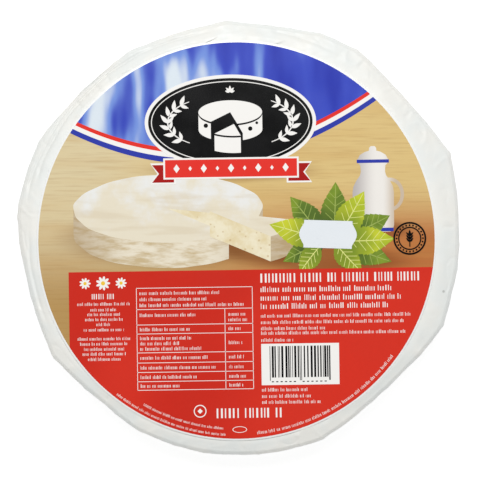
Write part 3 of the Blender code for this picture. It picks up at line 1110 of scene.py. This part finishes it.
# %% [markdown]
# Fresh leaves lie in the foreground, where the price sticker covers them in part. They are the pointed
# leaf again, much larger, each with its own turn and with teeth along its edge. A middle vein and side
# veins in a paler green make them read as leaves from a step away, and two layers, a deep one behind a
# sunny one, give the bunch depth.

# %% The leaves
LEAF_MIDDLE = (42.0, 0.0)
LEAF_BEND = 1.2
LEAF_TEETH = 11
SPINE_SHARES = (0.02, 0.2, 0.4, 0.6, 0.8, 0.95)  # the points of the middle vein, as shares of the length
VEIN_SHARES = (0.14, 0.28, 0.42, 0.56, 0.70)  # where the side veins leave it
VEIN_REACH = 0.72  # how far a side vein goes out, as a share of half the leaf's width there
VEIN_SLANT = 0.8  # how far it goes forward on that way
SPINE_WIDTH, VEIN_WIDTH = 0.45, 0.24
# Each leaf has a base, a length, a width and a turn in degrees.
BACK_LEAVES = (
    (44, 1, 25, 15, 84),
    (38, 2, 22, 14, 124),
    (40, -1, 21, 13, 202),
    (48, -2, 24, 14, -24),
    (50, 1, 22, 14, 22),
)
FRONT_LEAVES = (
    (46, 1, 24, 15, 56),
    (38, 0, 24, 15, 160),
    (49, -1, 23, 15, -1),
    (45, -2, 18, 12, -52),
    (38, -3, 16, 11, 228),
)


def leaf_green(bright, dull, deep):
    """Makes a pattern: green in bright and dull patches, deeper towards the middle of the bunch."""
    def pattern(tree, where):
        patches = value_noise(tree, where, 60.0, 3.0, 0.55)
        shaded = mixed(tree, ranged(tree, patches, 0.38, 0.62), bright, dull)
        middle = Vector((LEAF_MIDDLE[0] * MM, LEAF_MIDDLE[1] * MM - 3 * MM, SHEET_TOP))
        away = vector_maths(tree, "DISTANCE", where, middle).outputs["Value"]
        return mixed(tree, ranged(tree, away, 24 * MM, 9 * MM, 0.0, 0.8), shaded, deep)
    return pattern


def print_leaves(layer, leaves, level, ink, vein_ink):
    """One layer of leaves, and their veins a level higher."""
    outlines, veins = [], []
    for x, y, length, width, turn in leaves:
        outlines.append(clipped(leaf((x, y), length, width, turn, LEAF_BEND, 6 * LEAF_TEETH, LEAF_TEETH)))
        spine = [(length * share, LEAF_BEND * share ** 2) for share in SPINE_SHARES]
        veins.append(line_along(turned(spine, turn, (x, y)), SPINE_WIDTH, 0.5))
        for share in VEIN_SHARES:
            reach = VEIN_REACH * leaf_half_width(width, share)
            start = (length * share, LEAF_BEND * share ** 2)
            for side in (-1, 1):
                end = (start[0] + VEIN_SLANT * reach, start[1] + side * reach)
                veins.append(line_along(turned([start, end], turn, (x, y)), VEIN_WIDTH))
    printed_together(f"print_{layer}_leaves", outlines, level, ink)
    printed_together(f"print_{layer}_veins", veins, level + 1, vein_ink)


deep_green = leaf_green(linear(134, 158, 54), linear(98, 124, 48), linear(62, 84, 42))
sunny_green = leaf_green(linear(204, 210, 58), linear(168, 186, 52), linear(104, 130, 46))
DEEP_LEAF = ink_from("deep_leaf_print", deep_green, 0.05)
DEEP_VEIN = ink_from("deep_vein_print", linear(160, 178, 92), 0.05)
SUNNY_LEAF = ink_from("sunny_leaf_print", sunny_green, 0.05)
SUNNY_VEIN = ink_from("sunny_vein_print", linear(226, 230, 140), 0.05)
print_leaves("back", BACK_LEAVES, 6, DEEP_LEAF, DEEP_VEIN)
print_leaves("front", FRONT_LEAVES, 8, SUNNY_LEAF, SUNNY_VEIN)

# %% [markdown]
# Small ornaments complete the picture: three daisies at the head of the red field, and a black ring with
# an ear of wheat at the right. A petal is an oval that is turned round the flower's middle. Rings are an
# outline with a smaller one inside it, which the flat curve fills as a hole.

# %% The daisies
DAISIES = (-61.0, -18.6)
DAISY_SIZES = ((-8.2, 0.8), (0.0, 1.0), (8.2, 0.8))  # each daisy's place along the row, and its size
PETALS = 9
PETAL_OUT = 1.95  # how far a petal's middle lies from the flower's
PETAL_REACH, PETAL_SQUASH = 1.3, 0.46
HEART_RADIUS = 0.95
petals, hearts = [], []
for x, size in DAISY_SIZES:
    middle = (DAISIES[0] + x, DAISIES[1])
    petal = ring_of(PETAL_REACH * size, 20, (PETAL_OUT * size, 0.0), PETAL_SQUASH)
    petals += [turned(petal, 360 / PETALS * i, middle) for i in range(PETALS)]
    hearts.append(ring_of(HEART_RADIUS * size, 24, middle))
printed_together("print_daisies", petals, 11, WHITE_INK)
printed("print_daisy_hearts", hearts, 12, ink_from("daisy_yellow_ink", linear(242, 200, 70), 0.05))

# %% The ring mark
MARK = (78.8, -0.2)
MARK_RINGS = (7.5, 6.7, 5.3, 4.7)  # the outer ring's two edges, then the inner ring's
BEAD_REACH = (6.0, 6.0)
BEAD_RADIUS = 0.42
BEADS = 24
GRAIN_SIZE = (2.5, 1.1)
GRAIN_HEIGHTS = (-1.6, -0.3, 1.0)  # where a pair of grains grows from the stalk
mark_rings = [ring_of(radius, 72, MARK) for radius in MARK_RINGS]
ear = [line_along([(MARK[0], MARK[1] - 3.8), (MARK[0], MARK[1] + 1.6)], 0.5)]
ear.append(leaf((MARK[0], MARK[1] + 1.4), 2.6, 1.2, 90))
for height in GRAIN_HEIGHTS:
    ear += [leaf((MARK[0], MARK[1] + height), *GRAIN_SIZE, 90 + turn) for turn in (-42, 42)]
printed("print_mark_rings", mark_rings, 10, BLACK_INK)
printed_together("print_mark_ear", ear, 10, BLACK_INK)
bead_places = arc_path(MARK, BEAD_REACH, 0, 360, BEADS)[1:]
printed("print_mark_beads", [ring_of(BEAD_RADIUS, 10, place) for place in bead_places], 10, BLACK_INK)

# %% [markdown]
# The red field is filled by rows of plain upright strokes in groups of uneven length, which say nothing.
# From a step away they give the field its fine, busy grain. The strokes' sizes come from a seeded draw, so
# that they are the same in each run. In the largest rows they are all equally high, in the others now and
# then one stands taller.

# %% A row of strokes
draw = random.Random(11)
# All of these sizes are shares of a row's height.
SMALL_WEIGHT = 0.13  # the usual width of a stroke in a small row, and then in a large one
LARGE_WEIGHT = 0.145
WEIGHT_SPREAD = (0.7, 1.5)  # a stroke's width lies between these shares of the usual one
LOW_STROKE = 0.74  # the height of the strokes that don't stand tall
STROKE_GAP = (0.17, 0.32)  # the least and the most between two strokes
GROUP_GAP = 0.4  # and what is added between two groups
GROUP_SIZE = (3, 10)  # the fewest and the most strokes in a group


def row_of_strokes(first, y, last, tall, weight=SMALL_WEIGHT, tall_share=0.25):
    """Strokes along a row from first to last. Weight is their width as a share of the row's height."""
    places = []
    x = first
    while x < last:
        for _ in range(draw.randint(*GROUP_SIZE)):
            if x >= last:
                break
            height = tall * (1.0 if draw.random() < tall_share else LOW_STROKE)
            width = tall * weight * draw.uniform(*WEIGHT_SPREAD)
            places.append((x + width / 2, y - tall / 2 + height / 2, width, height, 0.0))
            x += width + tall * draw.uniform(*STROKE_GAP)
        x += tall * GROUP_GAP
    return places


def row_round(radius, first, last, tall):
    """A row of small strokes bent round the label's middle, between two angles in degrees."""
    places = []
    length = math.radians(abs(last - first)) * radius
    for along, across, width, height, _ in row_of_strokes(0.0, 0.0, length, tall):
        angle = math.radians(first) + along / radius * (1 if last > first else -1)
        at = radius - across if last > first else radius + across
        places.append((at * math.cos(angle), at * math.sin(angle), width, height, math.degrees(angle) + 90))
    return places


print("an average gap between strokes, as a share of their height:", sum(STROKE_GAP) / 2)

# %% The rows on the red field
RIGHT_FROM = 10.6  # where the rows right of the table begin
LEFT_MIDDLE = -61.0  # the middle of the column left of the table
LEFT_HEAD = 5.2  # half the length of its first row
SMALL_TALL = 1.6
LEFT_TALL = 1.45
# Each large row has a left and a right end, a height on the label, a height of its own and the share of its
# strokes that stand tall.
LARGE_ROWS = (
    (RIGHT_FROM, 83.0, -17.3, 4.1, 1.0),
    (RIGHT_FROM, 70.0, -22.4, 2.5, 0.35),
    (RIGHT_FROM, 74.0, -26.3, 2.5, 0.35),
    (RIGHT_FROM, 68.0, -30.1, 2.5, 0.35),
    (LEFT_MIDDLE - LEFT_HEAD, LEFT_MIDDLE + LEFT_HEAD, -24.6, 2.4, 1.0),
    (-10.2, 19.0, -78.5, 4.4, 1.0),
)
# The small rows right of the table and below the bar code: their height on the label and their right end.
RIGHT_ROWS = (
    (-34.5, 78.6), (-37.4, 75.5), (-40.2, 39.6), (-42.3, 76.2), (-45.5, 25.3),
    (-68.1, 31.2), (-71.0, 32.5), (-73.7, 37.0),
)
# The rows in the middle of the left column: their height on the label and their length.
LEFT_ROWS = (
    (-28.0, 23.7), (-30.6, 11.8), (-32.7, 14.6), (-35.0, 16.7), (-37.3, 6.6), (-39.7, 18.1),
    (-43.8, 23.7), (-46.1, 21.6), (-48.5, 18.1), (-50.7, 19.5), (-53.1, 14.6),
)
# The rows round the foot: their radius, their first and last angle and their height.
ROUND_ROWS = ((88.4, -128.7, -94.2, 1.2), (85.6, -120.3, -94.8, 1.2), (87.9, -84.7, -37.3, 1.5))
large, small = [], []
for first, last, y, tall, tall_share in LARGE_ROWS:
    large += row_of_strokes(first, y, last, tall, LARGE_WEIGHT, tall_share)
for y, last in RIGHT_ROWS:
    small += row_of_strokes(RIGHT_FROM, y, last, SMALL_TALL)
for y, length in LEFT_ROWS:
    small += row_of_strokes(LEFT_MIDDLE - length / 2, y, LEFT_MIDDLE + length / 2, LEFT_TALL)
for radius, first, last, tall in ROUND_ROWS:
    small += row_round(radius, first, last, tall)
strokes("print_large_rows", large, 11, WHITE_INK)
strokes("print_small_rows", small, 11, WHITE_INK)

# %% [markdown]
# Beside the rows stand a table of two columns and a bar code. The table is only its ruled lines with a
# short row of strokes in each cell. The bar code is made up: bars and gaps of drawn widths that encode
# nothing, on a white box, with a line of ticks below them.

# %% The table
TABLE_LEFT, TABLE_RIGHT, TABLE_COLUMN = -45.9, 6.8, -5.8
TABLE_LINES = (-21.1, -30.8, -37.8, -41.9, -50.5, -55.1, -59.4, -63.6, -67.5)
RULE = 0.26  # the width of its lines
LEFT_INSET = 1.4  # how far in from the table's side the row of a left cell begins
RIGHT_INSET = 1.6  # and how far in from the column line that of a right cell
HEADER_ROWS = ((-23.4, -8.0), (-26.2, -14.0), (-28.9, 2.6))
# The cells' rows: their height, the end of the left cell's row and of the right cell's.
CELL_ROWS = (
    (-33.4, -19.0, 3.4), (-35.9, None, 5.2), (-39.9, -22.0, 1.2), (-43.9, -21.0, None), (-46.3, -27.0, 2.2),
    (-48.7, -17.0, None), (-52.8, -13.5, 2.8), (-57.3, -10.5, 2.6), (-61.6, -19.0, 3.4), (-65.6, -27.0, 2.4),
)
wide, tall = TABLE_RIGHT - TABLE_LEFT, TABLE_LINES[0] - TABLE_LINES[-1]
middle_x, middle_y = (TABLE_LEFT + TABLE_RIGHT) / 2, (TABLE_LINES[0] + TABLE_LINES[-1]) / 2
table = [(middle_x, y, wide + RULE, RULE, 0.0) for y in TABLE_LINES]
table += [(x, middle_y, RULE, tall, 0.0) for x in (TABLE_LEFT, TABLE_RIGHT)]
column_tall = TABLE_LINES[1] - TABLE_LINES[-1]
table.append((TABLE_COLUMN, TABLE_LINES[1] - column_tall / 2, RULE, column_tall, 0.0))
for y, last in HEADER_ROWS:
    table += row_of_strokes(TABLE_LEFT + LEFT_INSET, y, last, SMALL_TALL)
for y, left_end, right_end in CELL_ROWS:
    if left_end is not None:
        table += row_of_strokes(TABLE_LEFT + LEFT_INSET, y, left_end, SMALL_TALL)
    if right_end is not None:
        table += row_of_strokes(TABLE_COLUMN + RIGHT_INSET, y, right_end, SMALL_TALL)
strokes("print_table_of_rows", table, 11, WHITE_INK)

# %% The bar code
CODE_MIDDLE = (28.2, -56.6)
CODE_BOX_HALF = (17.7, 9.4)
CODE_LEFT, CODE_RIGHT = 14.3, 42.5
CODE_HIGH, CODE_LOW = -48.3, -62.6
CODE_UNIT = 0.31
UNITS = (1, 1, 2, 2, 3)  # a bar or a gap is one of these many units wide
GUARDS = ((CODE_LEFT, 0.7), (CODE_MIDDLE[0], 0.7), (CODE_RIGHT, 1.8))  # longer bars stand this near to these
GUARD_DROP = 1.4
TICK_Y = -64.5
TICK_STARTS = (15.6, 29.6)
TICKS, TICK_STEP, TICK_LENGTH, TICK_WIDTH = 6, 2.0, 1.0, 0.45
printed("print_code_box", [box_outline(CODE_MIDDLE, *CODE_BOX_HALF)], 11, WHITE_INK)
bars = []
x = CODE_LEFT
while x < CODE_RIGHT - max(UNITS) * CODE_UNIT:
    width = CODE_UNIT * draw.choice(UNITS)
    at_guard = any(abs(x - place) < reach for place, reach in GUARDS)
    low = CODE_LOW - GUARD_DROP if at_guard else CODE_LOW
    bars.append((x + width / 2, (CODE_HIGH + low) / 2, width, CODE_HIGH - low, 0.0))
    x += width + CODE_UNIT * draw.choice(UNITS)
for start in TICK_STARTS:
    bars += [(start + TICK_STEP * i, TICK_Y, TICK_LENGTH, TICK_WIDTH, 0.0) for i in range(TICKS)]
strokes("print_code_bars", bars, 12, BLACK_INK)

# %% The two small marks at the foot
ROUND_MARK = (-17.7, -77.4)
OVAL_MARK = (0.2, -86.0)
ROUND_RINGS = ((2.9, 48), (2.45, 48), (1.2, 4))  # a radius and a number of sides, down to a diamond
OVAL_RINGS = ((3.3, 0.44), (3.0, 0.40))  # half a width, and the height as a share of the width
foot_marks = [ring_of(radius, sides, ROUND_MARK) for radius, sides in ROUND_RINGS]
foot_marks += [ring_of(radius, 48, OVAL_MARK, squash) for radius, squash in OVAL_RINGS]
printed("print_foot_marks", foot_marks, 11, WHITE_INK)

# %% [markdown]
# The price sticker is a blank slip of paper with wavy short ends, stuck over the leaves. Its outline is
# already in the solid, so its mesh is copied, cut into narrow strips by bisecting, and set down on the
# print with a slight curl at its corners, because a sticker that is put on quickly never lies quite flat.

# %% The price sticker
STICKER_THICKNESS = 0.14 * MM
STICKER_CURL = 0.16 * MM
STICKER_RIPPLE = 0.03 * MM
STICKER_LEVEL = 10  # it lies over the leaves, which end at level 9
STICKER_CUTS = ((0, 16), (1, 9))  # how many strips along X, and how many along Y
sticker = copy_of_solid("price_sticker", "sticker")
sticker_middle = (sticker_low + sticker_high) / 2
half_size = (sticker_high - sticker_low) / 2
for axis, count in STICKER_CUTS:
    for i in range(1, count):
        place, normal = sticker_middle.copy(), [0.0, 0.0, 0.0]
        place[axis] = sticker_low[axis] + (sticker_high[axis] - sticker_low[axis]) * i / count
        normal[axis] = 1.0
        bpy.ops.mesh.select_all(action="SELECT")
        bpy.ops.mesh.bisect(plane_co=place, plane_no=normal)
leave_edit()
for vertex in sticker.data.vertices:
    share_x = (vertex.co.x - sticker_middle.x) / half_size.x
    share_y = (vertex.co.y - sticker_middle.y) / half_size.y
    curl = STICKER_CURL * (0.25 * share_x ** 2 + abs(share_x) ** 5 * abs(share_y) ** 2)
    ripple = STICKER_RIPPLE * noise.noise(Vector((vertex.co.x, vertex.co.y, 0.0)) / (5 * MM))
    base = SHEET_TOP + STICKER_LEVEL * INK + curl + ripple
    vertex.co.z = base + (STICKER_THICKNESS if vertex.co.z > sticker_middle.z else 0.0)
sticker.data.shade_smooth()
sticker.data.set_sharp_from_angle(angle=math.radians(40))
print("sticker faces:", len(sticker.data.polygons))


# %% The sticker's paper
def sticker_paper():
    made, tree, shader, where = blank_material("sticker_paper", 0.5)
    tooth = placed(tree, PAPER_TOOTH, {"Vector": where, "Fibre": 0.8})
    tint = mixed(tree, tooth.outputs["Mottle"], linear(224, 230, 236), linear(229, 233, 236))
    link(tree, tint, shader.inputs["Base Color"])
    thin_bump(tree, tooth.outputs["Height"], 0.3, shader)
    return made


sticker.data.materials.append(sticker_paper())
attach(sticker, "root")
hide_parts("price_sticker")
print("the sticker's paper:", sticker.data.materials[0].name)

# %% [markdown]
# The photograph looks straight down from far enough away that no side shows, on a ground so bright that it
# washes out to white. So the camera stands high over the wheel with a long lens, whose length follows from
# the width that the picture takes in. The light is one large soft panel from the head of the label and a
# pale sky.

# %% The floor
FLOOR_RADIUS = 6.0
FLOOR_HEIGHT = wheel_low.z - 0.05 * MM
FLOOR_GREY = 0.32
FLOOR_GLOW = 0.82  # the floor shines a little by itself, as an overlit ground does in a photograph
bpy.ops.object.select_all(action="DESELECT")
bpy.ops.mesh.primitive_circle_add(
    vertices=64,
    radius=FLOOR_RADIUS,
    fill_type="NGON",
    location=(0.0, 0.0, FLOOR_HEIGHT),
)
floor = bpy.context.object
floor.name = "floor"
floor_paint = bpy.data.materials.new("pale_floor")
floor_paint.use_nodes = True
floor_shader = floor_paint.node_tree.nodes["Principled BSDF"]
floor_shader.inputs["Base Color"].default_value = (FLOOR_GREY, FLOOR_GREY, FLOOR_GREY, 1.0)
floor_shader.inputs["Roughness"].default_value = 0.8
floor_shader.inputs["Emission Color"].default_value = (1.0, 1.0, 1.0, 1.0)
floor_shader.inputs["Emission Strength"].default_value = FLOOR_GLOW
floor.data.materials.append(floor_paint)
print("floor's height, mm:", round(FLOOR_HEIGHT / MM, 2))

# %% The light
SKY_STRENGTH = 0.38
PANEL_PLACE = (-0.03, 0.52, 1.43)
PANEL_SIZE = 0.6
PANEL_POWER = 15.2
scene = bpy.context.scene
scene.view_settings.view_transform = "Standard"
world = bpy.data.worlds.new("pale sky")
scene.world = world
world.use_nodes = True
world.node_tree.nodes["Background"].inputs["Color"].default_value = (1.0, 1.0, 1.0, 1.0)
world.node_tree.nodes["Background"].inputs["Strength"].default_value = SKY_STRENGTH
lamp = bpy.data.lights.new("head panel", "AREA")
lamp.energy = PANEL_POWER
lamp.size = PANEL_SIZE
panel = bpy.data.objects.new("head panel", lamp)
panel.location = PANEL_PLACE
panel.rotation_euler = (-Vector(PANEL_PLACE)).to_track_quat("-Z", "Y").to_euler()
scene.collection.objects.link(panel)
print("the panel hangs this far from the wheel, m:", round(Vector(PANEL_PLACE).length, 2))

# %% The camera
PICTURE_WIDTH = 0.2170
PICTURE_MIDDLE = (0.0003, -0.0002)
CAMERA_RISE = 1.5
SENSOR = 36.0
camera_data = bpy.data.cameras.new("camera")
camera_data.sensor_width = SENSOR
camera_data.lens = SENSOR * CAMERA_RISE / PICTURE_WIDTH
camera = bpy.data.objects.new("camera", camera_data)
camera.location = (*PICTURE_MIDDLE, TOP + CAMERA_RISE)
scene.collection.objects.link(camera)
scene.camera = camera
print("the lens, mm:", round(camera_data.lens, 1))
